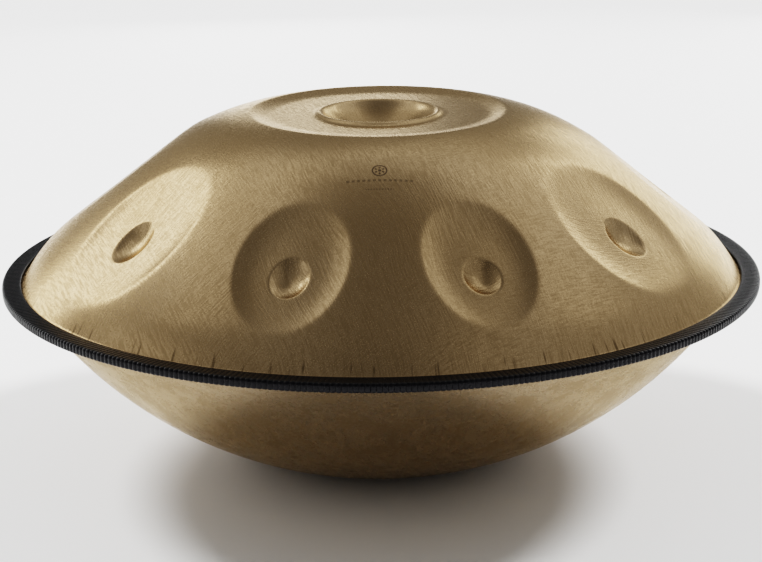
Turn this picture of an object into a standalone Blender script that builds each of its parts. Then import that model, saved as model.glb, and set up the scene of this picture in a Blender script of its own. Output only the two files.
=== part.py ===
"""Handpan: two hammered steel shells glued flange to flange, with a clip-on trim round the edge.

Metres, +Z up. The origin is on the floor under the centre. The front of the drum faces -Y.
"""

import math

import bmesh
import bpy
from mathutils import Matrix, Vector
from mathutils.geometry import delaunay_2d_cdt

# Driving dimensions
STEEL = 0.0010
GAP = 0.0003
SEGMENTS = 60
FLANGE_RADIUS = 0.2652
FLANGE_FILLET = 0.004
ADHESIVE_THICKNESS = 0.0003
ADHESIVE_INNER_RADIUS = 0.2572

# Upper shell: tangent arcs as (radius of curvature, plan radius where the arc ends)
DOME_ARCS = ((0.97, 0.077), (0.1553, 0.1446), (0.4736, 0.2354), (0.1173, 0.2505))
DOME_EDGE_HEIGHT = 0.0062
DING_FLOOR_DROP = 0.0073
DING_FLAT_RADIUS = 0.074
DING_RIDGE_RADIUS = 0.0905
DING_RIDGE_SOFTNESS = 0.12
DING_DIMPLE_RADIUS = 0.0385
DING_DIMPLE_DEPTH = 0.016
DING_LIP_HEIGHT = 0.0022
DING_LIP_WIDTH = 0.08

# Lower shell: part of a sphere down to the port
BOWL_SPHERE = 0.2959
BOWL_EDGE_RADIUS = 0.2497
BOWL_EDGE_DEPTH = 0.003
BOWL_END_RADIUS = 0.0735
BOWL_STEPS = 8
REST_OUTER_RADIUS = 0.0715
REST_INNER_RADIUS = 0.0685
PORT_RADIUS = 0.063
PORT_NECK_HEIGHT = 0.018

# Edge trim
TRIM_OUTER_RADIUS = 0.268
TRIM_LIP_RADIUS = 0.2547
TRIM_HEIGHT = 0.0064
TRIM_CORNER = 0.002
TRIM_JOINT_ANGLE = 0.08
CORE_THICKNESS = 0.0004
CORE_GAP = 0.0002
CORE_LEG_START = 0.2560
CORE_WEB_RADIUS = 0.2665
CORE_CHAMFER = 0.0008

# Tone fields round the drum, largest at the back. Azimuth is in degrees from the front, towards +X.
# (azimuth, field plan radius, half width, half length in plan, recess, dimple plan radius,
#  dimple half width, dimple half length, dimple depth)
TONE_FIELDS = (
    (-16.3, 0.1990, 0.0365, 0.0385, 0.0044, 0.2028, 0.0130, 0.0160, 0.0050),
    (18.1, 0.1988, 0.0354, 0.0382, 0.0044, 0.2038, 0.0125, 0.0142, 0.0050),
    (53.9, 0.1940, 0.0490, 0.0460, 0.0040, 0.1990, 0.0150, 0.0168, 0.0055),
    (97.8, 0.1974, 0.0533, 0.0458, 0.0014, 0.1990, 0.0160, 0.0180, 0.0070),
    (150.0, 0.1940, 0.0560, 0.0485, 0.0034, 0.1970, 0.0170, 0.0190, 0.0070),
    (-155.0, 0.1930, 0.0580, 0.0495, 0.0034, 0.1960, 0.0175, 0.0195, 0.0070),
    (-102.6, 0.1864, 0.0603, 0.0558, 0.0014, 0.1890, 0.0160, 0.0180, 0.0070),
    (-55.1, 0.1950, 0.0480, 0.0475, 0.0040, 0.1985, 0.0150, 0.0178, 0.0055),
)
FIELD_CHORD_SHARE = 0.769
FIELD_CROWN = 0.0006
FIELD_ARCH_SHARE = 0.85
FIELD_EDGE_SOFTNESS = 0.15
FIELD_END_SHARE = 1.10
DIMPLE_EDGE_SOFTNESS = 0.06

# Where the upper shell's mesh has its points: rings as (radius, points), ovals as (share, points)
WALL_RING_RADIUS = 0.2505
DING_RINGS = ((0.0925, 36), (0.0895, 36), (0.083, 32), (DING_FLAT_RADIUS, 28), (0.060, 20))
DING_DIMPLE_RINGS = ((1.27, 26), (1.1, 26), (0.98, 24), (0.70, 14), (0.35, 8))
FIELD_OVALS = ((FIELD_END_SHARE, 20), (1.0, 20), (0.84, 18), (0.60, 12))
DIMPLE_OVALS = ((1.14, 12), (0.90, 12), (0.50, 7))
BETWEEN_RADII = (0.243, 0.234, 0.219, 0.202, 0.186, 0.170, 0.154, 0.138, 0.122, 0.107)
BETWEEN_SPACING = 0.019
BETWEEN_MARGIN = 1.24


def smooth_step(value, low, high):
    """0 below low, 1 above high, and a smooth rise between them."""
    share = min(max((value - low) / (high - low), 0.0), 1.0)
    return share * share * (3 - 2 * share)


def bowl_height_above_rim(radius):
    """Height of the lower shell's outer surface, measured from the joint plane."""
    edge = math.sqrt(BOWL_SPHERE**2 - BOWL_EDGE_RADIUS**2)
    return edge - math.sqrt(BOWL_SPHERE**2 - radius**2) - BOWL_EDGE_DEPTH


def rest_blend():
    """Radius of the small arc from the sphere to the flat resting ring, and its angle."""
    angle = math.asin(BOWL_END_RADIUS / BOWL_SPHERE)
    return (BOWL_END_RADIUS - REST_OUTER_RADIUS) / math.sin(angle), angle


def rim_plane_height():
    """Height of the joint plane above the floor, with the resting ring on the floor."""
    blend_radius, angle = rest_blend()
    return -bowl_height_above_rim(BOWL_END_RADIUS) + blend_radius * (1 - math.cos(angle))


RIM_Z = rim_plane_height()
FLANGE_OFFSET = ADHESIVE_THICKNESS / 2 + GAP + STEEL


def dome_drop(radius):
    """Drop from the dome's crown to this plan radius, along the tangent arcs."""
    drop, sine, start = 0.0, 0.0, 0.0
    for curvature, end in DOME_ARCS:
        stop = min(radius, end)
        next_sine = sine + (stop - start) / curvature
        drop += curvature * (math.sqrt(1 - sine**2) - math.sqrt(1 - next_sine**2))
        sine, start = next_sine, end
        if radius <= end:
            break
    return drop


def dome_edge_angle():
    """Angle of the dome's wall to the horizontal where it meets the flange's bend."""
    sine, start = 0.0, 0.0
    for curvature, end in DOME_ARCS:
        sine += (end - start) / curvature
        start = end
    return math.asin(sine)


def flange_bend(edge_radius, edge_offset, angle):
    """Where a straight wall's fillet starts and ends in plan, for a wall at this angle.

    edge_offset is the wall's distance from the joint plane at edge_radius.
    """
    corner = edge_radius + (edge_offset - FLANGE_OFFSET) / math.tan(angle)
    tangent = FLANGE_FILLET * math.tan(angle / 2)
    return corner - tangent * math.cos(angle), corner + tangent


DOME_EDGE_RADIUS = DOME_ARCS[-1][1]
DOME_BEND = flange_bend(DOME_EDGE_RADIUS, DOME_EDGE_HEIGHT, dome_edge_angle())


def dome_height(radius):
    """Height of the plain dome with its bend and flange, before the tone fields are hammered in."""
    bend_start, bend_end = DOME_BEND
    if radius >= bend_end:
        return RIM_Z + FLANGE_OFFSET
    if radius >= bend_start:
        centre = RIM_Z + FLANGE_OFFSET + FLANGE_FILLET
        return centre - math.sqrt(FLANGE_FILLET**2 - (bend_end - radius) ** 2)
    if radius >= DOME_EDGE_RADIUS:
        fall = (radius - DOME_EDGE_RADIUS) * math.tan(dome_edge_angle())
        return RIM_Z + DOME_EDGE_HEIGHT - fall
    return RIM_Z + DOME_EDGE_HEIGHT + dome_drop(DOME_EDGE_RADIUS) - dome_drop(radius)


def dish(inside, softness):
    """A dish's depth: follows inside while that is positive and fades to 0 outside its softened edge."""
    return (inside + math.sqrt(inside**2 + softness**2)) / 2


def ding_floor_weight(radius):
    """1 over the ding's flat floor, falling to 0 at the crest of the ridge round it."""
    climb = (radius - DING_FLAT_RADIUS) / (DING_RIDGE_RADIUS - DING_FLAT_RADIUS)
    edge = 1 - max(climb, 0) ** 2
    return min(dish(edge, DING_RIDGE_SOFTNESS), 1.0) * (1 - smooth_step(climb, 1.0, 1.3))


def field_weight(share):
    """1 over most of a tone field, falling steeply to 0 at its border."""
    return dish(1 - share**4, FIELD_EDGE_SOFTNESS) * (1 - smooth_step(share, 1.0, FIELD_END_SHARE))


def local_point(x, y, azimuth):
    """Distance out along an azimuth and distance across it."""
    angle = math.radians(azimuth)
    outward = x * math.sin(angle) - y * math.cos(angle)
    across = x * math.cos(angle) + y * math.sin(angle)
    return outward, across


def field_plane(field):
    """Height at the field's centre and slope of the flat that is hammered into the dome."""
    radius, half_chord = field[1], field[3] * FIELD_CHORD_SHARE
    inner = dome_height(radius - half_chord)
    outer = dome_height(radius + half_chord)
    return (inner + outer) / 2 - field[4], (inner - outer) / (2 * half_chord)


def surface_point(x, y):
    """Point of the upper shell's outer surface over a plan position."""
    radius = math.hypot(x, y)
    height = dome_height(radius)
    floor = dome_height(0) - DING_FLOOR_DROP
    height += (floor - height) * ding_floor_weight(radius)
    point = Vector((x, y, height))
    share = radius / DING_DIMPLE_RADIUS
    if share < 1.6:
        point.z -= DING_DIMPLE_DEPTH * dish(1 - share**2, DIMPLE_EDGE_SOFTNESS)
        point.z += DING_LIP_HEIGHT * math.exp(-(((share - 1) / DING_LIP_WIDTH - 1) ** 2))
    for field in TONE_FIELDS:
        azimuth, centre, half_width, half_length = field[:4]
        outward, across = local_point(x, y, azimuth)
        share = math.hypot(across / half_width, (outward - centre) / half_length)
        if share > FIELD_END_SHARE or outward < 0:
            continue
        middle, slope = field_plane(field)
        flat = middle - slope * (outward - centre) + FIELD_CROWN * (1 - share**2)
        flat -= FIELD_ARCH_SHARE * slope * across**2 / (2 * centre)
        point.z += (flat - point.z) * field_weight(share)
        point += dimple_offset(field, outward, across, slope)
    return point


def dimple_offset(field, outward, across, slope):
    """Push into a tone field's dimple, square to the field's flat."""
    azimuth, dimple_radius, half_width, half_length, depth = field[0], *field[5:]
    stretch = math.hypot(1, slope)
    along = (outward - dimple_radius) * stretch
    share = math.hypot(across / half_width, along / half_length)
    if share > 1.5:
        return Vector((0, 0, 0))
    angle = math.radians(azimuth)
    normal = Vector((math.sin(angle) * slope, -math.cos(angle) * slope, 1)) / stretch
    return -normal * depth * dish(1 - share**2, DIMPLE_EDGE_SOFTNESS)


def ring(radius, count, turn=0.0):
    """Plan positions on a circle round the centre."""
    steps = (2 * math.pi * (i + turn) / count for i in range(count))
    return [(radius * math.sin(a), -radius * math.cos(a)) for a in steps]


def oval_ring(azimuth, centre, half_width, half_length, count):
    """Plan positions on an oval whose length lies along an azimuth."""
    angle = math.radians(azimuth)
    outward = Vector((math.sin(angle), -math.cos(angle)))
    across = Vector((math.cos(angle), math.sin(angle)))
    steps = (2 * math.pi * i / count for i in range(count))
    return [
        tuple(outward * (centre + half_length * math.cos(a)) + across * half_width * math.sin(a))
        for a in steps
    ]


def clear_of_fields(position, margin):
    """True where a plan position lies outside every tone field by the margin."""
    for azimuth, centre, half_width, half_length, *_ in TONE_FIELDS:
        outward, across = local_point(*position, azimuth)
        if math.hypot(across / half_width, (outward - centre) / half_length) < margin:
            return False
    return True


def dome_plan():
    """Plan positions of the upper shell's points, and the edges that follow its rings and ovals."""
    bend_start, bend_end = DOME_BEND
    rims = (FLANGE_RADIUS, bend_end, (bend_start + bend_end) / 2, bend_start, WALL_RING_RADIUS)
    loops = [ring(radius, SEGMENTS) for radius in rims]
    loops += [ring(radius, count) for radius, count in DING_RINGS]
    loops += [ring(share * DING_DIMPLE_RADIUS, count) for share, count in DING_DIMPLE_RINGS]
    for field in TONE_FIELDS:
        azimuth, centre, half_width, half_length, _, dimple_radius, across, along, _ = field
        for share, count in FIELD_OVALS:
            loops.append(oval_ring(azimuth, centre, share * half_width, share * half_length, count))
        plan_along = along / math.hypot(1, field_plane(field)[1])
        for share, count in DIMPLE_OVALS:
            oval = oval_ring(azimuth, dimple_radius, share * across, share * plan_along, count)
            loops.append(oval)
    points, edges = [], []
    for loop in loops:
        first = len(points)
        points += loop
        edges += [(first + i, first + (i + 1) % len(loop)) for i in range(len(loop))]
    points.append((0.0, 0.0))
    points += [oval_ring(field[0], field[5], 0, 0, 1)[0] for field in TONE_FIELDS]
    for i, radius in enumerate(BETWEEN_RADII):
        count = min(SEGMENTS, round(2 * math.pi * radius / BETWEEN_SPACING))
        staggered = ring(radius, count, 0.5 * (i % 2))
        points += [p for p in staggered if clear_of_fields(p, BETWEEN_MARGIN)]
    return points, edges


def material(name, colour, roughness, metallic):
    """A plain Principled material."""
    made = bpy.data.materials.new(name)
    made.use_nodes = True
    shader = made.node_tree.nodes["Principled BSDF"]
    shader.inputs["Base Color"].default_value = (*colour, 1)
    shader.inputs["Roughness"].default_value = roughness
    shader.inputs["Metallic"].default_value = metallic
    return made


def add_object(name, mesh, collection, finish, smooth_angle):
    """An object of this mesh in the collection, with its material and smooth shading."""
    made = bpy.data.objects.new(name, mesh)
    collection.objects.link(made)
    mesh.materials.append(finish)
    mesh.shade_smooth()
    mesh.set_sharp_from_angle(angle=math.radians(smooth_angle))
    return made


def add_solidify(target):
    """Sheet thickness, laid to the inside of the drawn surface."""
    sheet = target.modifiers.new("sheet_thickness", "SOLIDIFY")
    sheet.thickness = STEEL
    sheet.offset = -1
    sheet.use_even_offset = True


def add_screw(target):
    """Turns a profile in the XZ plane a full turn about Z."""
    turn = target.modifiers.new("turn", "SCREW")
    turn.axis = "Z"
    turn.angle = 2 * math.pi
    turn.steps = SEGMENTS
    turn.render_steps = SEGMENTS
    turn.use_merge_vertices = True
    turn.merge_threshold = 0.00001
    turn.use_smooth_shade = True


def profile_mesh(name, points, closed):
    """Mesh of a line of (radius, height) points in the XZ plane at +X."""
    mesh = bpy.data.meshes.new(name)
    verts = [(radius, 0, height) for radius, height in points]
    edges = [(i, i + 1) for i in range(len(verts) - 1)]
    if closed:
        edges.append((len(verts) - 1, 0))
    mesh.from_pydata(verts, edges, [])
    return mesh


def arc_points(centre, radius, start, end, steps):
    """Points on an arc of the XZ plane, angles in degrees from +X towards +Z, both ends included."""
    angles = (math.radians(start + (end - start) * i / steps) for i in range(steps + 1))
    return [(centre[0] + radius * math.cos(a), centre[1] + radius * math.sin(a)) for a in angles]


def make_ding_shell(collection, finish):
    """Upper shell: the dome with its ding and tone fields, as one sheet."""
    points, edges = dome_plan()
    verts, _, faces, *_ = delaunay_2d_cdt([Vector(p) for p in points], edges, [], 0, 1e-7)
    mesh = bpy.data.meshes.new("ding_shell")
    mesh.from_pydata([surface_point(*v) for v in verts], [], faces)
    add_solidify(add_object("ding_shell", mesh, collection, finish, 60))


def bowl_profile():
    """Outer line of the lower shell, from the flange's edge down to the top of the port's neck."""
    edge_angle = math.asin(BOWL_EDGE_RADIUS / BOWL_SPHERE)
    bend_start, bend_end = flange_bend(BOWL_EDGE_RADIUS, BOWL_EDGE_DEPTH, edge_angle)
    flange_z = RIM_Z - FLANGE_OFFSET
    points = [(FLANGE_RADIUS, flange_z)]
    bend_centre = (bend_end, flange_z - FLANGE_FILLET)
    points += arc_points(bend_centre, FLANGE_FILLET, 90, 90 + math.degrees(edge_angle), 3)
    end_angle = math.asin(BOWL_END_RADIUS / BOWL_SPHERE)
    for i in range(1, BOWL_STEPS + 1):
        angle = edge_angle + (end_angle - edge_angle) * i / BOWL_STEPS
        radius = BOWL_SPHERE * math.sin(angle)
        points.append((radius, RIM_Z + bowl_height_above_rim(radius)))
    points.append((REST_OUTER_RADIUS, 0))
    roll = REST_INNER_RADIUS - PORT_RADIUS
    points += arc_points((REST_INNER_RADIUS, roll), roll, 270, 180, 3)
    points.append((PORT_RADIUS, PORT_NECK_HEIGHT))
    return points


def make_gu_shell(collection, finish):
    """Lower shell: a turned sheet with the port's neck rolled inwards."""
    mesh = profile_mesh("gu_shell", bowl_profile(), False)
    made = add_object("gu_shell", mesh, collection, finish, 60)
    add_screw(made)
    add_solidify(made)


def make_rim_adhesive(collection, finish):
    """Flat ring of glue between the two flanges."""
    half = ADHESIVE_THICKNESS / 2
    outer = FLANGE_RADIUS - GAP
    corners = [
        (outer, RIM_Z + half),
        (outer, RIM_Z - half),
        (ADHESIVE_INNER_RADIUS, RIM_Z - half),
        (ADHESIVE_INNER_RADIUS, RIM_Z + half),
    ]
    mesh = profile_mesh("rim_adhesive", corners, True)
    add_screw(add_object("rim_adhesive", mesh, collection, finish, 40))


SLOT_HALF = FLANGE_OFFSET + GAP
LEG_Z = (SLOT_HALF + TRIM_HEIGHT / 2) / 2


def trim_outline():
    """Cross-section of the trim: a U that opens inwards, with rounded lips and outer corners."""
    lip = (TRIM_HEIGHT / 2 - SLOT_HALF) / 2
    lip_centre = TRIM_LIP_RADIUS + lip
    corner = (TRIM_OUTER_RADIUS - TRIM_CORNER, TRIM_HEIGHT / 2 - TRIM_CORNER)
    slot_end = FLANGE_RADIUS + GAP
    upper = [(slot_end, SLOT_HALF)]
    upper += arc_points((lip_centre, LEG_Z), lip, 270, 90, 2)
    upper += arc_points(corner, TRIM_CORNER, 90, 0, 2)
    lower = [(radius, -height) for radius, height in reversed(upper)]
    return [(radius, RIM_Z + height) for radius, height in upper + lower]


def core_outline(grow):
    """Cross-section of the clip strip, a chamfered U, grown by a clearance on every side."""
    half = CORE_THICKNESS / 2 + grow
    bevel = half * math.tan(math.radians(22.5))
    start = CORE_LEG_START - grow
    chamfer_r = CORE_WEB_RADIUS - CORE_CHAMFER
    chamfer_z = LEG_Z - CORE_CHAMFER
    upper = [
        (start, LEG_Z + half),
        (chamfer_r + bevel, LEG_Z + half),
        (CORE_WEB_RADIUS + half, chamfer_z + bevel),
    ]
    inner = [
        (start, LEG_Z - half),
        (chamfer_r - bevel, LEG_Z - half),
        (CORE_WEB_RADIUS - half, chamfer_z - bevel),
    ]
    outer_side = upper + [(radius, -height) for radius, height in reversed(upper)]
    inner_side = inner + [(radius, -height) for radius, height in reversed(inner)]
    return [(radius, RIM_Z + height) for radius, height in outer_side + inner_side[::-1]]


def swept_strip(name, outlines, collection, finish):
    """A strip bent round the rim, open at its butt joint at the back. Inner outlines are channels."""
    bm = bmesh.new()
    for outline in outlines:
        verts = [bm.verts.new((0, radius, height)) for radius, height in outline]
        for i, vert in enumerate(verts):
            bm.edges.new((vert, verts[(i + 1) % len(verts)]))
    bmesh.ops.triangle_fill(bm, use_beauty=True, edges=bm.edges[:])
    half_joint = math.radians(TRIM_JOINT_ANGLE / 2)
    bmesh.ops.rotate(
        bm, verts=bm.verts[:], matrix=Matrix.Rotation(half_joint, 3, "Z"), cent=(0, 0, 0)
    )
    bmesh.ops.spin(
        bm,
        geom=bm.verts[:] + bm.edges[:] + bm.faces[:],
        cent=(0, 0, 0),
        axis=(0, 0, 1),
        angle=2 * math.pi - 2 * half_joint,
        steps=SEGMENTS,
    )
    bmesh.ops.recalc_face_normals(bm, faces=bm.faces[:])
    mesh = bpy.data.meshes.new(name)
    bm.to_mesh(mesh)
    bm.free()
    add_object(name, mesh, collection, finish, 40)


def main():
    for old in list(bpy.data.objects):
        bpy.data.objects.remove(old)
    collection = bpy.data.collections.new("handpan")
    bpy.context.scene.collection.children.link(collection)
    bronze = material("bronze_steel", (0.42, 0.30, 0.15), 0.38, 1.0)
    glue = material("epoxy", (0.30, 0.27, 0.20), 0.5, 0.0)
    black = material("black_trim", (0.015, 0.014, 0.016), 0.45, 0.0)
    spring = material("spring_steel", (0.50, 0.50, 0.52), 0.35, 1.0)
    make_ding_shell(collection, bronze)
    make_gu_shell(collection, bronze)
    make_rim_adhesive(collection, glue)
    swept_strip("trim_cover", [trim_outline(), core_outline(CORE_GAP)], collection, black)
    swept_strip("trim_clip_core", [core_outline(0)], collection, spring)


main()
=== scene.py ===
"""Looks of the handpan: fine hammered shells, a ribbed edge trim and brushed bronze materials.

Metres, +Z up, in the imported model's frame. The drum faces -Y and rests on the floor at z = 0.
"""

import math

import bmesh
import bpy
import numpy as np
from mathutils import Matrix, Vector
from mathutils.geometry import delaunay_2d_cdt


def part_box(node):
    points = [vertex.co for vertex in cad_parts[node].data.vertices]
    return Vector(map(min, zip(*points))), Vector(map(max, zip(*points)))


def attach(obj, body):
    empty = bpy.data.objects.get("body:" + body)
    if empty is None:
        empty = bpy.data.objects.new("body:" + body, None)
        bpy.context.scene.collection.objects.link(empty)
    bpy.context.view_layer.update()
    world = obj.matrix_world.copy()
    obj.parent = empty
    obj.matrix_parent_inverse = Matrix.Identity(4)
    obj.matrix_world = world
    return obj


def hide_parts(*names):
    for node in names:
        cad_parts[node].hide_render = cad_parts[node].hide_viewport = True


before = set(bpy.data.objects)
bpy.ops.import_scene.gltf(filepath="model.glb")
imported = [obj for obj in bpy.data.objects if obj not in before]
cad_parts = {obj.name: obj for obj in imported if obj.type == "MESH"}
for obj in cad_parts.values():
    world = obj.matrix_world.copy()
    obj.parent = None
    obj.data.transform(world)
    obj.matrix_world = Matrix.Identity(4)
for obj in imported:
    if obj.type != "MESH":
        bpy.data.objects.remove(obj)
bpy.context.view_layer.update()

# Places and sizes read from the frame
TRIM_LOW, TRIM_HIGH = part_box("trim_cover")
FLANGE_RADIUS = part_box("ding_shell")[1].x
ADHESIVE_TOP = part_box("rim_adhesive")[1].z
RIM_Z = (TRIM_LOW.z + TRIM_HIGH.z) / 2
TRIM_RADIUS = TRIM_HIGH.x
TRIM_HALF = (TRIM_HIGH.z - TRIM_LOW.z) / 2

# Sheet and flange
STEEL = 0.0010
GAP = 0.0003
FLANGE_FILLET = 0.004
FLANGE_OFFSET = ADHESIVE_TOP - RIM_Z + GAP + STEEL

# Upper shell: tangent arcs as (radius of curvature, plan radius where the arc ends)
DOME_ARCS = ((0.97, 0.077), (0.1553, 0.1446), (0.4736, 0.2354), (0.1173, 0.2505))
DOME_EDGE_RADIUS = DOME_ARCS[-1][1]
DOME_EDGE_HEIGHT = 0.0062
DING_FLOOR_DROP = 0.0073
DING_FLAT_RADIUS = 0.074
DING_RIDGE_RADIUS = 0.0905
DING_RIDGE_SOFTNESS = 0.12
DING_RIDGE_REACH = 1.3
DING_DIMPLE_RADIUS = 0.0385
DING_DIMPLE_DEPTH = 0.016
DING_DIMPLE_REACH = 1.6
DING_LIP_HEIGHT = 0.0022
DING_LIP_WIDTH = 0.08

# Lower shell: part of a sphere down to the resting ring and the port
BOWL_SPHERE = 0.2959
BOWL_EDGE_RADIUS = 0.2497
BOWL_EDGE_DEPTH = 0.003
BOWL_END_RADIUS = 0.0735
REST_OUTER_RADIUS = 0.0715
REST_INNER_RADIUS = 0.0685
PORT_RADIUS = 0.063
PORT_NECK_HEIGHT = 0.018

# Tone fields: (azimuth in degrees from the front towards +X, plan radius, half width, half length,
# recess, dimple plan radius, dimple half width, dimple half length, dimple depth)
TONE_FIELDS = (
    (-16.3, 0.1990, 0.0365, 0.0385, 0.0044, 0.2028, 0.0130, 0.0160, 0.0050),
    (18.1, 0.1988, 0.0354, 0.0382, 0.0044, 0.2038, 0.0125, 0.0142, 0.0050),
    (53.9, 0.1940, 0.0490, 0.0460, 0.0040, 0.1990, 0.0150, 0.0168, 0.0055),
    (97.8, 0.1974, 0.0533, 0.0458, 0.0014, 0.1990, 0.0160, 0.0180, 0.0070),
    (150.0, 0.1940, 0.0560, 0.0485, 0.0034, 0.1970, 0.0170, 0.0190, 0.0070),
    (-155.0, 0.1930, 0.0580, 0.0495, 0.0034, 0.1960, 0.0175, 0.0195, 0.0070),
    (-102.6, 0.1864, 0.0603, 0.0558, 0.0014, 0.1890, 0.0160, 0.0180, 0.0070),
    (-55.1, 0.1950, 0.0480, 0.0475, 0.0040, 0.1985, 0.0150, 0.0178, 0.0055),
)
FIELD_CHORD_SHARE = 0.769
FIELD_CROWN = 0.0006
FIELD_ARCH_SHARE = 0.85
FIELD_EDGE_SOFTNESS = 0.15
FIELD_END_SHARE = 1.10
DIMPLE_EDGE_SOFTNESS = 0.06
DIMPLE_REACH = 1.5

# Edge trim. The ribs are half as deep on its flat faces as on its rounded corners.
TRIM_LIP_RADIUS = 0.2547
TRIM_CORNER = 0.002
TRIM_JOINT_ANGLE = math.radians(0.08)
TRIM_RIBS = 480
RIB_DEPTH = 0.0006
RIB_FACE_SHARE = 0.5
RIB_GROOVE_POWER = 3.5
# Phases of a rib's pitch at which the section is drawn: the groove is at 0, the crest at 0.5
RIB_PHASES = np.array((0.0, 0.12, 0.32, 0.5, 0.68, 0.88))

# Fineness of the meshes: steps round the axis, (spacing of the even net, spacing at creases), and
# how the rows, the gap round each crease and the rings' points follow from those
RIM_STEPS = 360
BOWL_STEPS = 288
OUTER_FINENESS = (0.0032, 0.0011)
INNER_FINENESS = (0.006, 0.0025)
NET_ROW_SHARE = 0.866
NET_MARGIN_SHARE = 0.45
RING_STRETCH = 1.3
FIELD_COARSENESS = 1.4
WALL_STRIP = 0.006
# Shares of an oval's size between which close rings follow it
DIMPLE_BAND = (0.0, 1.3)
RIDGE_BAND = (0.94, 1.06)
FIELD_BAND = (0.86, 1.12)
# Degrees left on the sphere between the end of the bowl's bend and the first ring
BOWL_BEND_SKIP = 0.6

# Bronze colours as (light, dark)
UPPER_BRONZE = ((0.51, 0.375, 0.225), (0.45, 0.32, 0.18))
# The lower shell's bronze is greyer than the upper one, and darker as painted shade for the shadowed floor
# it reflects
SHADED_LOWER_BRONZE = ((0.37, 0.295, 0.205), (0.335, 0.265, 0.18))
DARK_GRAIN = (0.26, 0.17, 0.08)
DARK_STROKES = (0.22, 0.15, 0.075)
FOOT_TICK_TONE = (0.12, 0.08, 0.04)
ETCHED = (0.05, 0.035, 0.03)
# Painted shade for the ding's dimple
DING_PAINTED_SHADE = (0.20, 0.13, 0.06)
HIGHLIGHT_TINT = (1.0, 0.9, 0.74)

# Brush strokes: their width, and for the upper shell's two sets (direction in degrees from -Y
# towards +X, length). The lower shell's run round the axis, and their turn is in radians.
STROKE_WIDTH = 0.0011
MAIN_STROKES = (24.0, 0.013)
CROSS_STROKES = (-58.0, 0.010)
BOWL_STROKE_WIDTH = 0.0015
BOWL_STROKE_TURN = 0.06

# Etched emblem: its place in front of the axis, its ring and dots, and the dotted lines below it as
# (distance below the ring's middle, half width, half height, pitch of the dots)
MARK_RADIUS = 0.1325
MARK_RING = 0.0046
MARK_RING_HALF_WIDTH = 0.0005
MARK_DOT_COUNT = 6
MARK_DOTS = 0.0026
MARK_DOTS_HALF_WIDTH = 0.0008
MARK_MIDDLE_DOT = 0.0011
MARK_LINES = ((0.0085, 0.022, 0.0009, 0.0034), (0.0155, 0.009, 0.0005, 0.0018))

# Studio: brightness of the walls and ceiling, the lamps' distances, and the camera
WALL_FRONT = 0.13
WALL_BACK = 0.26
WALL_LEFT = 0.08
WALL_RIGHT = 0.18
CEILING = 0.18
SOFTBOX_DISTANCE = 2.0
FLOOR_LIGHT_DISTANCE = 3.0
FLOOR_LIGHT_ANGLE = math.radians(14)
CAMERA_DISTANCE = 1.5
CAMERA_ELEVATION = 0.27245
CAMERA_PITCH = 0.27876
CAMERA_ROLL = 0.012968
CAMERA_LENS = 98.745
CAMERA_SENSOR = 36.0


# ---------------------------------------------------------------------------
# Surface of the upper shell


def smooth_step(value, low, high):
    """0 below low, 1 above high, and a smooth rise between them."""
    share = np.clip((value - low) / (high - low), 0.0, 1.0)
    return share * share * (3 - 2 * share)


def dome_drop(radius):
    """Drop from the dome's crown to this plan radius, along the tangent arcs."""
    drop, sine, start = 0.0, 0.0, 0.0
    for curvature, end in DOME_ARCS:
        reached = sine + (np.clip(radius, start, end) - start) / curvature
        drop = drop + curvature * (math.sqrt(1 - sine**2) - np.sqrt(1 - reached**2))
        sine, start = sine + (end - start) / curvature, end
    return drop


def dome_edge_angle():
    """Angle of the dome's wall to the horizontal where it meets the flange's bend."""
    starts = (0.0, *(end for _, end in DOME_ARCS))
    return math.asin(sum((end - a) / r for (r, end), a in zip(DOME_ARCS, starts)))


def flange_bend(edge_radius, edge_offset, angle):
    """Plan radii where a wall's fillet into the flange starts and ends."""
    corner = edge_radius + (edge_offset - FLANGE_OFFSET) / math.tan(angle)
    tangent = FLANGE_FILLET * math.tan(angle / 2)
    return corner - tangent * math.cos(angle), corner + tangent


WALL_ANGLE = dome_edge_angle()
BEND_START, BEND_END = flange_bend(DOME_EDGE_RADIUS, DOME_EDGE_HEIGHT, WALL_ANGLE)


def dome_height(radius):
    """Height of the plain dome with its bend and flange, before the tone fields."""
    dome = RIM_Z + DOME_EDGE_HEIGHT + dome_drop(DOME_EDGE_RADIUS) - dome_drop(radius)
    wall = RIM_Z + DOME_EDGE_HEIGHT - (radius - DOME_EDGE_RADIUS) * math.tan(WALL_ANGLE)
    inset = np.clip(BEND_END - radius, 0.0, BEND_END - BEND_START)
    bend = RIM_Z + FLANGE_OFFSET + FLANGE_FILLET - np.sqrt(FLANGE_FILLET**2 - inset**2)
    return np.where(radius < DOME_EDGE_RADIUS, dome, np.where(radius < BEND_START, wall, bend))


def dish(inside, softness):
    """A dish's depth: follows inside while that is positive and fades to 0 outside its softened edge."""
    return (inside + np.sqrt(inside**2 + softness**2)) / 2


def ding_floor_weight(radius):
    """1 over the ding's flat floor, falling to 0 at the crest of the ridge round it."""
    climb = (radius - DING_FLAT_RADIUS) / (DING_RIDGE_RADIUS - DING_FLAT_RADIUS)
    edge = dish(1 - np.maximum(climb, 0) ** 2, DING_RIDGE_SOFTNESS)
    return np.minimum(edge, 1.0) * (1 - smooth_step(climb, 1.0, DING_RIDGE_REACH))


def field_weight(share):
    """1 over most of a tone field, falling steeply to 0 at its border."""
    return dish(1 - share**4, FIELD_EDGE_SOFTNESS) * (1 - smooth_step(share, 1.0, FIELD_END_SHARE))


def field_axes(azimuth):
    """Unit plan vectors outward along an azimuth and across it."""
    angle = math.radians(azimuth)
    return np.array((math.sin(angle), -math.cos(angle))), np.array((math.cos(angle), math.sin(angle)))


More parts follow.
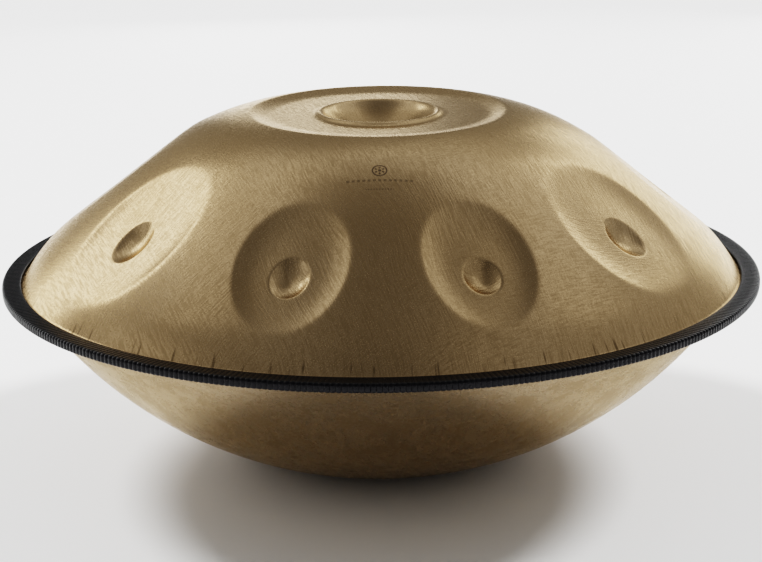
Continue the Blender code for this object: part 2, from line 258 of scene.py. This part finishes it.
def upper_surface(plan):
    """Points of the upper shell's outer surface over plan positions."""
    radius = np.hypot(plan[:, 0], plan[:, 1])
    height = dome_height(radius)
    floor = float(dome_height(0.0)) - DING_FLOOR_DROP
    height += (floor - height) * ding_floor_weight(radius)
    share = radius / DING_DIMPLE_RADIUS
    inside = share < DING_DIMPLE_REACH
    height -= DING_DIMPLE_DEPTH * dish(1 - share**2, DIMPLE_EDGE_SOFTNESS) * inside
    height += DING_LIP_HEIGHT * np.exp(-(((share - 1) / DING_LIP_WIDTH - 1) ** 2))
    points = np.column_stack((plan, height))
    for azimuth, centre, half_width, half_length, recess, *dimple in TONE_FIELDS:
        out_axis, cross_axis = field_axes(azimuth)
        outward, across = plan @ out_axis, plan @ cross_axis
        share = np.hypot(across / half_width, (outward - centre) / half_length)
        near = (share < FIELD_END_SHARE) & (outward > 0)
        half_chord = half_length * FIELD_CHORD_SHARE
        inner = float(dome_height(centre - half_chord))
        outer = float(dome_height(centre + half_chord))
        slope = (inner - outer) / (2 * half_chord)
        flat = (inner + outer) / 2 - recess - slope * (outward - centre)
        flat += FIELD_CROWN * (1 - share**2) - FIELD_ARCH_SHARE * slope * across**2 / (2 * centre)
        points[near, 2] += ((flat - points[:, 2]) * field_weight(share))[near]
        dimple_radius, dimple_width, dimple_length, depth = dimple
        stretch = math.hypot(1, slope)
        along = (outward - dimple_radius) * stretch
        share = np.hypot(across / dimple_width, along / dimple_length)
        push = depth * dish(1 - share**2, DIMPLE_EDGE_SOFTNESS) * (share < DIMPLE_REACH)
        normal = np.array((*(out_axis * slope), 1.0)) / stretch
        points[near] -= (push[:, None] * normal)[near]
    return points


def surface_normals(plan, step=0.0001):
    """Unit normals of the upper surface, from differences across each plan position."""
    east = upper_surface(plan + (step, 0)) - upper_surface(plan - (step, 0))
    north = upper_surface(plan + (0, step)) - upper_surface(plan - (0, step))
    normal = np.cross(east, north)
    return normal / np.linalg.norm(normal, axis=1)[:, None]


# ---------------------------------------------------------------------------
# Meshes


def ring(radius, count, turn=0.0):
    """Plan positions on a circle round the centre."""
    angle = 2 * math.pi * (np.arange(count) + turn) / count
    return np.column_stack((radius * np.sin(angle), -radius * np.cos(angle)))


def oval_ring(azimuth, centre, half_width, half_length, count):
    """Plan positions on an oval whose length lies along an azimuth."""
    out_axis, cross_axis = field_axes(azimuth)
    angle = 2 * math.pi * np.arange(count) / count
    outward = centre + half_length * np.cos(angle)
    return np.outer(outward, out_axis) + np.outer(half_width * np.sin(angle), cross_axis)


def field_share(plan, azimuth, centre, half_width, half_length):
    """Distance from an oval's middle, 1 on the oval."""
    out_axis, cross_axis = field_axes(azimuth)
    return np.hypot(plan @ cross_axis / half_width, (plan @ out_axis - centre) / half_length)


def dimple_ovals():
    """Plan ovals of every dimple: (azimuth, radius, half width, half length in plan)."""
    ovals = [(0.0, 0.0, DING_DIMPLE_RADIUS, DING_DIMPLE_RADIUS)]
    for azimuth, centre, _, half_length, _, dimple_radius, across, along, _ in TONE_FIELDS:
        half_chord = half_length * FIELD_CHORD_SHARE
        rise = float(dome_height(centre - half_chord) - dome_height(centre + half_chord))
        plan_along = along / math.hypot(1, rise / (2 * half_chord))
        ovals.append((azimuth, dimple_radius, across, plan_along))
    return ovals


def dome_plan(spacing, fine):
    """Plan positions for the upper shell: an even net, with close rings and ovals at every crease."""
    wall = np.linspace(BEND_START, BEND_START - WALL_STRIP, 6)[1:]
    bend = np.linspace(BEND_END, BEND_START, 9)
    loops = [ring(radius, RIM_STEPS) for radius in (FLANGE_RADIUS, *bend, *wall)]
    reach = wall[-1] - spacing / 2
    net = []
    for i, radius in enumerate(np.arange(spacing, reach, spacing * NET_ROW_SHARE)[::-1]):
        net.append(ring(radius, max(6, round(2 * math.pi * radius / spacing)), 0.5 * (i % 2)))
    net = np.concatenate(net)
    bands = [(oval, *DIMPLE_BAND, fine) for oval in dimple_ovals()]
    bands.append(((0.0, 0.0, DING_RIDGE_RADIUS, DING_RIDGE_RADIUS), *RIDGE_BAND, fine))
    bands += [(field[:4], *FIELD_BAND, fine * FIELD_COARSENESS) for field in TONE_FIELDS]
    for oval, inner_share, outer_share, _ in bands:
        margin = spacing * NET_MARGIN_SHARE / min(oval[2:])
        share = field_share(net, *oval)
        net = net[(share > outer_share + margin) | (share < inner_share - margin)]
    loops.append(net)
    for (azimuth, centre, across, along), inner_share, outer_share, step in bands:
        girth = math.pi * (across + along)
        rows = round((outer_share - inner_share) * (across + along) / 2 / step)
        for share in np.linspace(inner_share, outer_share, rows + 1):
            count = max(6, round(girth * share / (step * RING_STRETCH))) if share > 0 else 1
            loops.append(oval_ring(azimuth, centre, share * across, share * along, count))
    return np.concatenate(loops)


def triangulate(plan):
    """Delaunay triangles over plan positions, counter-clockwise from above."""
    made = delaunay_2d_cdt([Vector(p) for p in plan], [], [], 0, 1e-9)
    return np.array([v[:] for v in made[0]]), [tuple(face) for face in made[2]]


def mesh_piece(name, verts, faces, normals=None):
    """A smooth mesh object, with its own normals where the surface's formula gives them."""
    mesh = bpy.data.meshes.new(name)
    mesh.from_pydata([tuple(v) for v in verts], [], faces)
    mesh.validate()
    mesh.shade_smooth()
    if normals is not None:
        mesh.normals_split_custom_set_from_vertices([tuple(n) for n in normals])
    piece = bpy.data.objects.new(name, mesh)
    bpy.context.scene.collection.objects.link(piece)
    return piece


def make_ding_shell():
    """The upper sheet: a fine outer face, a coarser inner face and the flange's edge between."""
    outer_plan, outer_faces = triangulate(dome_plan(*OUTER_FINENESS))
    inner_plan, inner_faces = triangulate(dome_plan(*INNER_FINENESS))
    outer_normals = surface_normals(outer_plan)
    inner_normals = surface_normals(inner_plan)
    outer = upper_surface(outer_plan)
    inner = upper_surface(inner_plan) - STEEL * inner_normals
    first = len(outer)
    faces = outer_faces + [tuple(first + i for i in reversed(face)) for face in inner_faces]
    for i in range(RIM_STEPS):
        j = (i + 1) % RIM_STEPS
        faces.append((i, first + i, first + j, j))
    normals = np.concatenate((outer_normals, -inner_normals))
    return mesh_piece("ding_shell_fine", np.concatenate((outer, inner)), faces, normals)


def arc_points(centre, radius, start, end, steps):
    """Points on an arc of the section plane, angles in degrees from outward towards up."""
    angle = np.radians(np.linspace(start, end, steps + 1))
    return [(centre[0] + radius * math.cos(a), centre[1] + radius * math.sin(a)) for a in angle]


def bowl_line():
    """Outer line of the lower shell, from the flange's edge down to the top of the port's neck."""
    edge_angle = math.asin(BOWL_EDGE_RADIUS / BOWL_SPHERE)
    end_angle = math.asin(BOWL_END_RADIUS / BOWL_SPHERE)
    _, bend_end = flange_bend(BOWL_EDGE_RADIUS, BOWL_EDGE_DEPTH, edge_angle)
    flange_z = RIM_Z - FLANGE_OFFSET
    centre_z = RIM_Z - BOWL_EDGE_DEPTH + BOWL_SPHERE * math.cos(edge_angle)
    turned = math.degrees(edge_angle)
    points = [(FLANGE_RADIUS, flange_z)]
    points += arc_points((bend_end, flange_z - FLANGE_FILLET), FLANGE_FILLET, 90, 90 + turned, 8)
    sphere_start = turned - 90 - BOWL_BEND_SKIP
    sphere_end = math.degrees(end_angle) - 90
    points += arc_points((0, centre_z), BOWL_SPHERE, sphere_start, sphere_end, 64)
    blend = (BOWL_END_RADIUS - REST_OUTER_RADIUS) / math.sin(end_angle)
    points += arc_points((REST_OUTER_RADIUS, blend), blend, sphere_end, -90, 3)[1:]
    roll = REST_INNER_RADIUS - PORT_RADIUS
    points += arc_points((REST_INNER_RADIUS, roll), roll, 270, 180, 8)
    points.append((PORT_RADIUS, PORT_NECK_HEIGHT))
    return np.array(points)


def line_normals(line):
    """Unit normals to the left of an open line's direction, averaged at its points."""
    along = np.diff(line, axis=0)
    left = np.column_stack((-along[:, 1], along[:, 0]))
    left /= np.linalg.norm(left, axis=1)[:, None]
    at_points = np.concatenate((left[:1], left[:-1] + left[1:], left[-1:]))
    return at_points / np.linalg.norm(at_points, axis=1)[:, None]


def swept_faces(rows, count, closed):
    """Quads between the rows of a swept closed section; closed joins the last row to the first."""
    faces = []
    for row in range(rows if closed else rows - 1):
        here, there = row * count, (row + 1) % rows * count
        for i in range(count):
            j = (i + 1) % count
            faces.append((here + i, here + j, there + j, there + i))
    return faces


def make_gu_shell():
    """The lower sheet, turned about the axis: outer line, rolled neck end and inner line."""
    line = bowl_line()
    inner = line - STEEL * line_normals(line)
    section = np.concatenate((line, inner[::-1]))
    angles = 2 * math.pi * np.arange(BOWL_STEPS) / BOWL_STEPS
    verts = np.array([
        (radius * math.cos(a), radius * math.sin(a), z) for a in angles for radius, z in section
    ])
    piece = mesh_piece("gu_shell_fine", verts, swept_faces(BOWL_STEPS, len(section), True))
    piece.data.set_sharp_from_angle(angle=math.radians(50))
    return piece


def trim_section():
    """Section of the trim with each point's share of the ribs' depth, from the slot's upper wall."""
    slot_half = FLANGE_OFFSET + GAP
    lip = (TRIM_HALF - slot_half) / 2
    lip_centre = (TRIM_LIP_RADIUS + lip, (slot_half + TRIM_HALF) / 2)
    corner = (TRIM_RADIUS - TRIM_CORNER, TRIM_HALF - TRIM_CORNER)
    upper = [(FLANGE_RADIUS + GAP, slot_half, 0.0)]
    upper += [(*p, 0.0) for p in arc_points(lip_centre, lip, 270, 120, 4)]
    # On the flat face the ribs fade in over its first fifth
    top_start, top_end = lip_centre[0], corner[0]
    for share in (0.0, 0.06, 0.15, 0.4, 0.7):
        depth = min(1, share * 5) * RIB_FACE_SHARE
        upper.append((top_start + (top_end - top_start) * share, TRIM_HALF, depth))
    for i, p in enumerate(arc_points(corner, TRIM_CORNER, 90, 0, 4)):
        upper.append((*p, RIB_FACE_SHARE + (1 - RIB_FACE_SHARE) * i / 4))
    lower = [(radius, -height, depth) for radius, height, depth in reversed(upper)]
    return np.array(upper + lower)


def rib_groove(phase):
    """Share of the groove's depth at a phase of the rib's pitch: narrow grooves, rounded crests."""
    return np.abs(2 * phase - 1) ** RIB_GROOVE_POWER


def make_trim_cover():
    """The trim: its ribbed section swept round the rim between the two ends of its butt joint."""
    section = trim_section()
    # The grooves push each point towards the centre of its rounded corner
    corner = np.array((TRIM_RADIUS - TRIM_CORNER, TRIM_HALF - TRIM_CORNER))
    side = np.sign(section[:, 1])
    inward = np.column_stack((corner[0] - section[:, 0], side * corner[1] - section[:, 1]))
    inward[:, 0] = np.minimum(inward[:, 0], 0)
    length = np.maximum(np.linalg.norm(inward, axis=1), 1e-9)
    inward /= length[:, None]
    sweep = 2 * math.pi - TRIM_JOINT_ANGLE
    cells = (np.arange(TRIM_RIBS)[:, None] + RIB_PHASES[None, :]).ravel()
    cells = np.append(cells, TRIM_RIBS)
    verts = []
    for cell in cells:
        angle = math.pi / 2 + TRIM_JOINT_ANGLE / 2 + sweep * cell / TRIM_RIBS
        push = RIB_DEPTH * rib_groove(cell % 1) * section[:, 2:]
        moved = section[:, :2] + inward * push
        radius, height = moved[:, 0], RIM_Z + moved[:, 1]
        verts.append(np.column_stack((radius * math.cos(angle), radius * math.sin(angle), height)))
    count, steps = len(section), len(cells)
    faces = swept_faces(steps, count, False)
    faces.append(tuple(reversed(range(count))))
    faces.append(tuple((steps - 1) * count + i for i in range(count)))
    piece = mesh_piece("trim_cover_ribbed", np.concatenate(verts), faces)
    bm = bmesh.new()
    bm.from_mesh(piece.data)
    bmesh.ops.recalc_face_normals(bm, faces=bm.faces[:])
    bm.to_mesh(piece.data)
    bm.free()
    piece.data.set_sharp_from_angle(angle=math.radians(60))
    return piece


# ---------------------------------------------------------------------------
# Materials


class NodeTree:
    """A shader node tree, with short calls for the nodes used here."""

    def __init__(self, tree):
        self.tree = tree

    def node(self, kind, **settings):
        made = self.tree.nodes.new(kind)
        for key, value in settings.items():
            setattr(made, key, value)
        return made

    def feed(self, socket, value):
        """Links a socket, or sets its default."""
        if isinstance(value, bpy.types.NodeSocket):
            self.tree.links.new(value, socket)
        else:
            socket.default_value = value

    def math(self, operation, *values):
        made = self.node("ShaderNodeMath", operation=operation)
        for socket, value in zip(made.inputs, values):
            self.feed(socket, value)
        return made.outputs[0]

    def plus(self, first, second):
        return self.math("ADD", first, second)

    def minus(self, first, second):
        return self.math("SUBTRACT", first, second)

    def times(self, first, second):
        return self.math("MULTIPLY", first, second)

    def over(self, first, second):
        return self.math("DIVIDE", first, second)

    def hypotenuse(self, first, second):
        return self.math("SQRT", self.plus(self.math("POWER", first, 2.0), self.math("POWER", second, 2.0)))

    def near(self, value, middle, reach):
        """1 where a value is closer to the middle than reach, else 0."""
        return self.math("LESS_THAN", self.math("ABSOLUTE", self.minus(value, middle)), reach)

    def position(self):
        """X, Y and Z of the shaded point in the object's own frame."""
        coordinates = self.node("ShaderNodeTexCoord").outputs["Object"]
        split = self.node("ShaderNodeSeparateXYZ")
        self.feed(split.inputs[0], coordinates)
        return split.outputs[0], split.outputs[1], split.outputs[2]

    def vector(self, x, y, z):
        made = self.node("ShaderNodeCombineXYZ")
        for socket, value in zip(made.inputs, (x, y, z)):
            self.feed(socket, value)
        return made.outputs[0]

    def noise(self, vector, scale, detail=2.0, roughness=0.5, distortion=0.0):
        made = self.node("ShaderNodeTexNoise")
        self.feed(made.inputs["Vector"], vector)
        self.feed(made.inputs["Scale"], scale)
        self.feed(made.inputs["Detail"], detail)
        self.feed(made.inputs["Roughness"], roughness)
        self.feed(made.inputs["Distortion"], distortion)
        return made.outputs[0]

    def span(self, value, low, high, out_low=0.0, out_high=1.0):
        """Maps low..high smoothly to out_low..out_high."""
        made = self.node("ShaderNodeMapRange", interpolation_type="SMOOTHSTEP")
        for socket, number in zip(made.inputs, (value, low, high, out_low, out_high)):
            self.feed(socket, number)
        return made.outputs[0]

    def mix(self, factor, first, second):
        """Mixes two numbers."""
        made = self.node("ShaderNodeMix", data_type="FLOAT")
        self.feed(made.inputs[0], factor)
        self.feed(made.inputs[2], first)
        self.feed(made.inputs[3], second)
        return made.outputs[0]

    def blend(self, factor, first, second):
        """Mixes two colours, each a socket or red, green and blue."""
        made = self.node("ShaderNodeMix", data_type="RGBA")
        self.feed(made.inputs[0], factor)
        for socket, colour in ((made.inputs[6], first), (made.inputs[7], second)):
            self.feed(socket, rgba(colour) if isinstance(colour, tuple) else colour)
        return made.outputs[2]

    def bump(self, height, distance, strength):
        made = self.node("ShaderNodeBump")
        self.feed(made.inputs["Height"], height)
        self.feed(made.inputs["Distance"], distance)
        self.feed(made.inputs["Strength"], strength)
        return made.outputs[0]


class Finish(NodeTree):
    """A new material's node tree."""

    def __init__(self, name):
        self.material = bpy.data.materials.new(name)
        self.material.use_nodes = True
        super().__init__(self.material.node_tree)
        self.surface = self.tree.nodes["Principled BSDF"]

    def complete(self, colour, roughness, normal, metallic):
        """Feeds the surface and returns the material."""
        self.feed(self.surface.inputs["Base Color"], colour)
        self.feed(self.surface.inputs["Roughness"], roughness)
        self.feed(self.surface.inputs["Normal"], normal)
        self.surface.inputs["Metallic"].default_value = metallic
        return self.material


def rgba(colour):
    """Red, green and blue with full alpha."""
    return (*colour, 1.0)


def plan_strokes(s, x, y, drift, direction, length, seed):
    """Straight brush strokes: noise drawn out along a direction, in degrees from -Y towards +X."""
    angle = math.radians(direction)
    across = s.plus(s.times(x, math.cos(angle)), s.times(y, math.sin(angle)))
    along = s.minus(s.times(x, math.sin(angle)), s.times(y, math.cos(angle)))
    place = s.vector(s.over(s.plus(across, drift), STROKE_WIDTH), s.over(along, length), seed)
    return s.noise(place, 1.0, 3.0, 0.65)


def crossed_strokes(s, x, y, here):
    """The upper shell's brushing: strokes in one direction, crossed by others in patches."""
    drift = s.times(s.minus(s.noise(here, 9.0, 1.0), 0.5), 0.02)
    main = plan_strokes(s, x, y, drift, *MAIN_STROKES, 0.0)
    cross = plan_strokes(s, x, y, drift, *CROSS_STROKES, 7.0)
    return s.mix(s.span(s.noise(here, 12.0, 2.0), 0.42, 0.62, 0.08, 0.7), main, cross)


def round_strokes(s, x, y, z, radius, here):
    """The lower shell's brushing: strokes round the axis, broken up by a fine grain."""
    place = s.vector(
        s.over(s.over(x, radius), BOWL_STROKE_TURN),
        s.over(s.over(y, radius), BOWL_STROKE_TURN),
        s.over(s.minus(radius, z), BOWL_STROKE_WIDTH),
    )
    return s.mix(0.3, s.noise(place, 1.0, 3.0, 0.65), s.noise(here, 520.0, 2.0))


def etched_mark(s, x, y):
    """Mask of a plain emblem below the ding: a ring round seven dots, and two dotted lines."""
    down = s.minus(s.times(y, -1.0), MARK_RADIUS)
    radius = s.hypotenuse(x, down)
    petal = s.math("COSINE", s.times(s.math("ARCTAN2", x, down), MARK_DOT_COUNT))
    dots = s.times(s.near(radius, MARK_DOTS, MARK_DOTS_HALF_WIDTH), s.math("GREATER_THAN", petal, 0.2))
    mark = s.math("MAXIMUM", dots, s.near(radius, MARK_RING, MARK_RING_HALF_WIDTH))
    mark = s.math("MAXIMUM", mark, s.math("LESS_THAN", radius, MARK_MIDDLE_DOT))
    for drop, half_width, half_height, pitch in MARK_LINES:
        beat = s.math("COSINE", s.times(x, 2 * math.pi / pitch))
        row = s.times(s.near(down, drop, half_height), s.near(x, 0.0, half_width))
        row = s.times(row, s.math("GREATER_THAN", beat, -0.2))
        mark = s.math("MAXIMUM", mark, s.times(row, 0.6))
    return mark


def foot_ticks(s, x, y, z, radius):
    """Mask of the short dark ticks where the dome's foot turns into the flange."""
    round_x = s.over(s.over(x, radius), 0.010)
    round_y = s.over(s.over(y, radius), 0.010)
    ticks = s.noise(s.vector(round_x, round_y, s.over(z, 0.03)), 1.0, 1.0)
    return s.times(s.span(radius, 0.2465, 0.251, 0.0, 0.8), s.span(ticks, 0.6, 0.72))


def bronze_material(name, colours, upper):
    """Bronze-coloured steel, hand brushed; the upper shell also has its ticks, emblem and painted shade in
    the ding's dimple.
    """
    s = Finish(name)
    x, y, z = s.position()
    here = s.vector(x, y, z)
    radius = s.hypotenuse(x, y)
    brushed = crossed_strokes(s, x, y, here) if upper else round_strokes(s, x, y, z, radius, here)
    grain = s.noise(here, 900.0, 2.0, 0.6)
    base = s.blend(s.span(s.noise(here, 7.0, 2.0, 0.5, 0.2), 0.3, 0.7), *colours)
    base = s.blend(s.span(grain, 0.38, 0.6, 0.3, 0.0), base, DARK_GRAIN)
    # The ding is polished, so its strokes are weaker than those outside its ridge
    stroke_share = s.span(radius, 0.084, 0.094, 0.3, 1.0) if upper else 1.0
    base = s.blend(s.times(stroke_share, s.span(brushed, 0.38, 0.58, 0.42, 0.0)), base, DARK_STROKES)
    if upper:
        # Short dark ticks painted on the dome's foot, darker towards the flange
        base = s.blend(foot_ticks(s, x, y, z, radius), base, FOOT_TICK_TONE)
        base = s.blend(s.times(etched_mark(s, x, y), 0.75), base, ETCHED)
        # Painted shade in the ding's dimple: its floor is darkened, fading out round its rim
        base = s.blend(s.span(radius, 0.030, 0.040, 0.5, 0.0), base, DING_PAINTED_SHADE)
    roughness = s.span(s.plus(brushed, s.times(grain, 0.5)), 0.6, 0.9, 0.34, 0.22)
    normal = s.bump(s.times(brushed, stroke_share), 0.0002, 0.8)
    s.surface.inputs["Specular Tint"].default_value = rgba(HIGHLIGHT_TINT)
    return s.complete(base, roughness, normal, 1.0)


def trim_material():
    """Black moulded edge trim with a leather grain."""
    s = Finish("black_trim")
    here = s.vector(*s.position())
    cells = s.node("ShaderNodeTexVoronoi", feature="F1")
    s.feed(cells.inputs["Vector"], here)
    s.feed(cells.inputs["Scale"], 1500.0)
    grain = s.plus(cells.outputs["Distance"], s.noise(here, 900.0, 3.0, 0.6))
    tone = s.blend(s.noise(here, 40.0, 2.0), (0.002, 0.0017, 0.0026), (0.005, 0.0043, 0.0064))
    s.surface.inputs["Specular IOR Level"].default_value = 0.18
    return s.complete(tone, s.span(grain, 0.4, 1.3, 0.18, 0.36), s.bump(grain, 0.00012, 0.8), 0.0)


def adhesive_material():
    """Cured epoxy, slightly cloudy."""
    s = Finish("epoxy")
    cloud = s.noise(s.vector(*s.position()), 180.0, 3.0)
    tone = s.blend(cloud, (0.33, 0.29, 0.20), (0.24, 0.20, 0.13))
    return s.complete(tone, s.span(cloud, 0.3, 0.7, 0.3, 0.5), s.bump(cloud, 0.0001, 0.4), 0.0)


def clip_material():
    """Plain rolled spring steel."""
    s = Finish("spring_steel")
    x, y, z = s.position()
    rolled = s.noise(s.vector(x, y, s.times(z, 12.0)), 240.0, 3.0)
    tone = s.blend(rolled, (0.42, 0.42, 0.44), (0.56, 0.56, 0.58))
    return s.complete(tone, s.span(rolled, 0.3, 0.7, 0.28, 0.42), s.bump(rolled, 0.0001, 0.3), 1.0)


# ---------------------------------------------------------------------------
# Stage


def make_floor():
    """A plain pale floor that runs out of view."""
    bpy.ops.mesh.primitive_plane_add(size=30, location=(0, 0, 0))
    floor = bpy.context.object
    floor.name = "floor"
    s = Finish("pale_floor")
    tone = s.noise(s.vector(*s.position()), 3.0)
    s.feed(s.surface.inputs["Base Color"], s.blend(tone, (0.9, 0.9, 0.9), (0.92, 0.92, 0.92)))
    s.surface.inputs["Roughness"].default_value = 0.6
    floor.data.materials.append(s.material)
    return floor


def lamp(kind, name, azimuth, elevation, distance):
    """A light that shines at the drum from an azimuth (from the back towards +X) and an elevation."""
    light = bpy.data.lights.new(name, kind)
    made = bpy.data.objects.new(name, light)
    bpy.context.scene.collection.objects.link(made)
    turn, rise = math.radians(azimuth), math.radians(elevation)
    away = Vector((math.sin(turn) * math.cos(rise), math.cos(turn) * math.cos(rise), math.sin(rise)))
    made.location = Vector((0, 0, RIM_Z)) + away * distance
    made.rotation_euler = away.to_track_quat("Z", "Y").to_euler()
    made.visible_camera = False
    return made


def softbox(name, azimuth, elevation, width, height, radiance):
    """A rectangular softbox whose width and height are the angles it fills, in degrees."""
    light = lamp("AREA", name, azimuth, elevation, SOFTBOX_DISTANCE).data
    light.shape = "RECTANGLE"
    light.size = 2 * SOFTBOX_DISTANCE * math.tan(math.radians(width / 2))
    light.size_y = 2 * SOFTBOX_DISTANCE * math.tan(math.radians(height / 2))
    light.energy = radiance * math.pi * light.size * light.size_y


def floor_light(name, azimuth, elevation, strength, floor):
    """A broad light for the floor alone, which keeps the floor pale round the drum's soft shadow."""
    made = lamp("SUN", name, azimuth, elevation, FLOOR_LIGHT_DISTANCE)
    made.data.angle = FLOOR_LIGHT_ANGLE
    made.data.energy = strength
    lit = bpy.data.collections.new(name + "_receivers")
    lit.objects.link(floor)
    made.light_linking.receiver_collection = lit


def make_lights(floor):
    """Bright softboxes behind the drum, weak ones above and to the left, and the floor's own lights."""
    softbox("softbox_back_left", -53.5, 20, 20, 48, 2.6)
    softbox("softbox_back_low", -5, 8, 14, 15, 2.1)
    softbox("softbox_back_right", 32, 8, 26, 36, 1.7)
    softbox("softbox_back_right_high", 42, 34, 12, 18, 1.6)
    softbox("softbox_high_left", -60, 57, 50, 22, 0.42)
    softbox("softbox_high_right", 50, 56, 60, 22, 0.34)
    softbox("softbox_high_back", -2, 55, 14, 12, 0.3)
    softbox("softbox_top_back", -2, 70, 50, 14, 0.22)
    softbox("softbox_left", -100, 15, 40, 40, 0.3)
    floor_light("floor_light_left", -54, 45, 3.4, floor)
    floor_light("floor_light_right", 62, 45, 3.2, floor)


def make_world():
    """The studio's walls and ceiling: dim in front, lighter behind and to both sides."""
    world = bpy.data.worlds.new("studio")
    bpy.context.scene.world = world
    world.use_nodes = True
    s = NodeTree(world.node_tree)
    split = s.node("ShaderNodeSeparateXYZ")
    s.feed(split.inputs[0], s.node("ShaderNodeTexCoord").outputs["Generated"])
    right, back, up = split.outputs
    walls = s.span(back, -0.8, 0.5, WALL_FRONT, WALL_BACK)
    overhead = s.span(up, 0.6, 1.0)
    strength = s.plus(s.times(walls, s.minus(1.0, overhead)), s.times(overhead, CEILING))
    strength = s.plus(strength, s.span(right, 0.08, 0.45, 0.0, WALL_RIGHT))
    strength = s.plus(strength, s.span(right, -0.45, -0.08, WALL_LEFT, 0.0))
    background = world.node_tree.nodes["Background"]
    s.feed(background.inputs["Strength"], strength)
    background.inputs["Color"].default_value = (1, 1, 1, 1)


def make_camera():
    """The photograph's viewpoint, fitted to the rim and the outline."""
    camera = bpy.data.cameras.new("camera")
    camera.sensor_width = CAMERA_SENSOR
    camera.lens = CAMERA_LENS
    view = bpy.data.objects.new("camera", camera)
    bpy.context.scene.collection.objects.link(view)
    back = -CAMERA_DISTANCE * math.cos(CAMERA_ELEVATION)
    view.location = (0, back, RIM_Z + CAMERA_DISTANCE * math.sin(CAMERA_ELEVATION))
    tilt = Matrix.Rotation(math.pi / 2 - CAMERA_PITCH, 4, "X")
    view.rotation_euler = (tilt @ Matrix.Rotation(-CAMERA_ROLL, 4, "Z")).to_euler()
    bpy.context.scene.camera = view


def dress(piece, finish, node):
    """Gives a new piece its material and puts it in place of its CAD node."""
    piece.data.materials.append(finish)
    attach(piece, "root")
    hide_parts(node)


def refinish(node, finish):
    """Gives a CAD node a new material."""
    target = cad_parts[node]
    target.data.materials.clear()
    target.data.materials.append(finish)


def main():
    make_camera()
    upper_bronze = bronze_material("bronze_upper", UPPER_BRONZE, True)
    # The lower shell gets a darker bronze: painted shade
    shaded_lower_bronze = bronze_material("bronze_lower_painted_shade", SHADED_LOWER_BRONZE, False)
    dress(make_ding_shell(), upper_bronze, "ding_shell")
    dress(make_gu_shell(), shaded_lower_bronze, "gu_shell")
    dress(make_trim_cover(), trim_material(), "trim_cover")
    refinish("rim_adhesive", adhesive_material())
    refinish("trim_clip_core", clip_material())
    make_lights(make_floor())
    make_world()
    view = bpy.context.scene.view_settings
    view.view_transform = "Filmic"
    view.look = "High Contrast"


main()
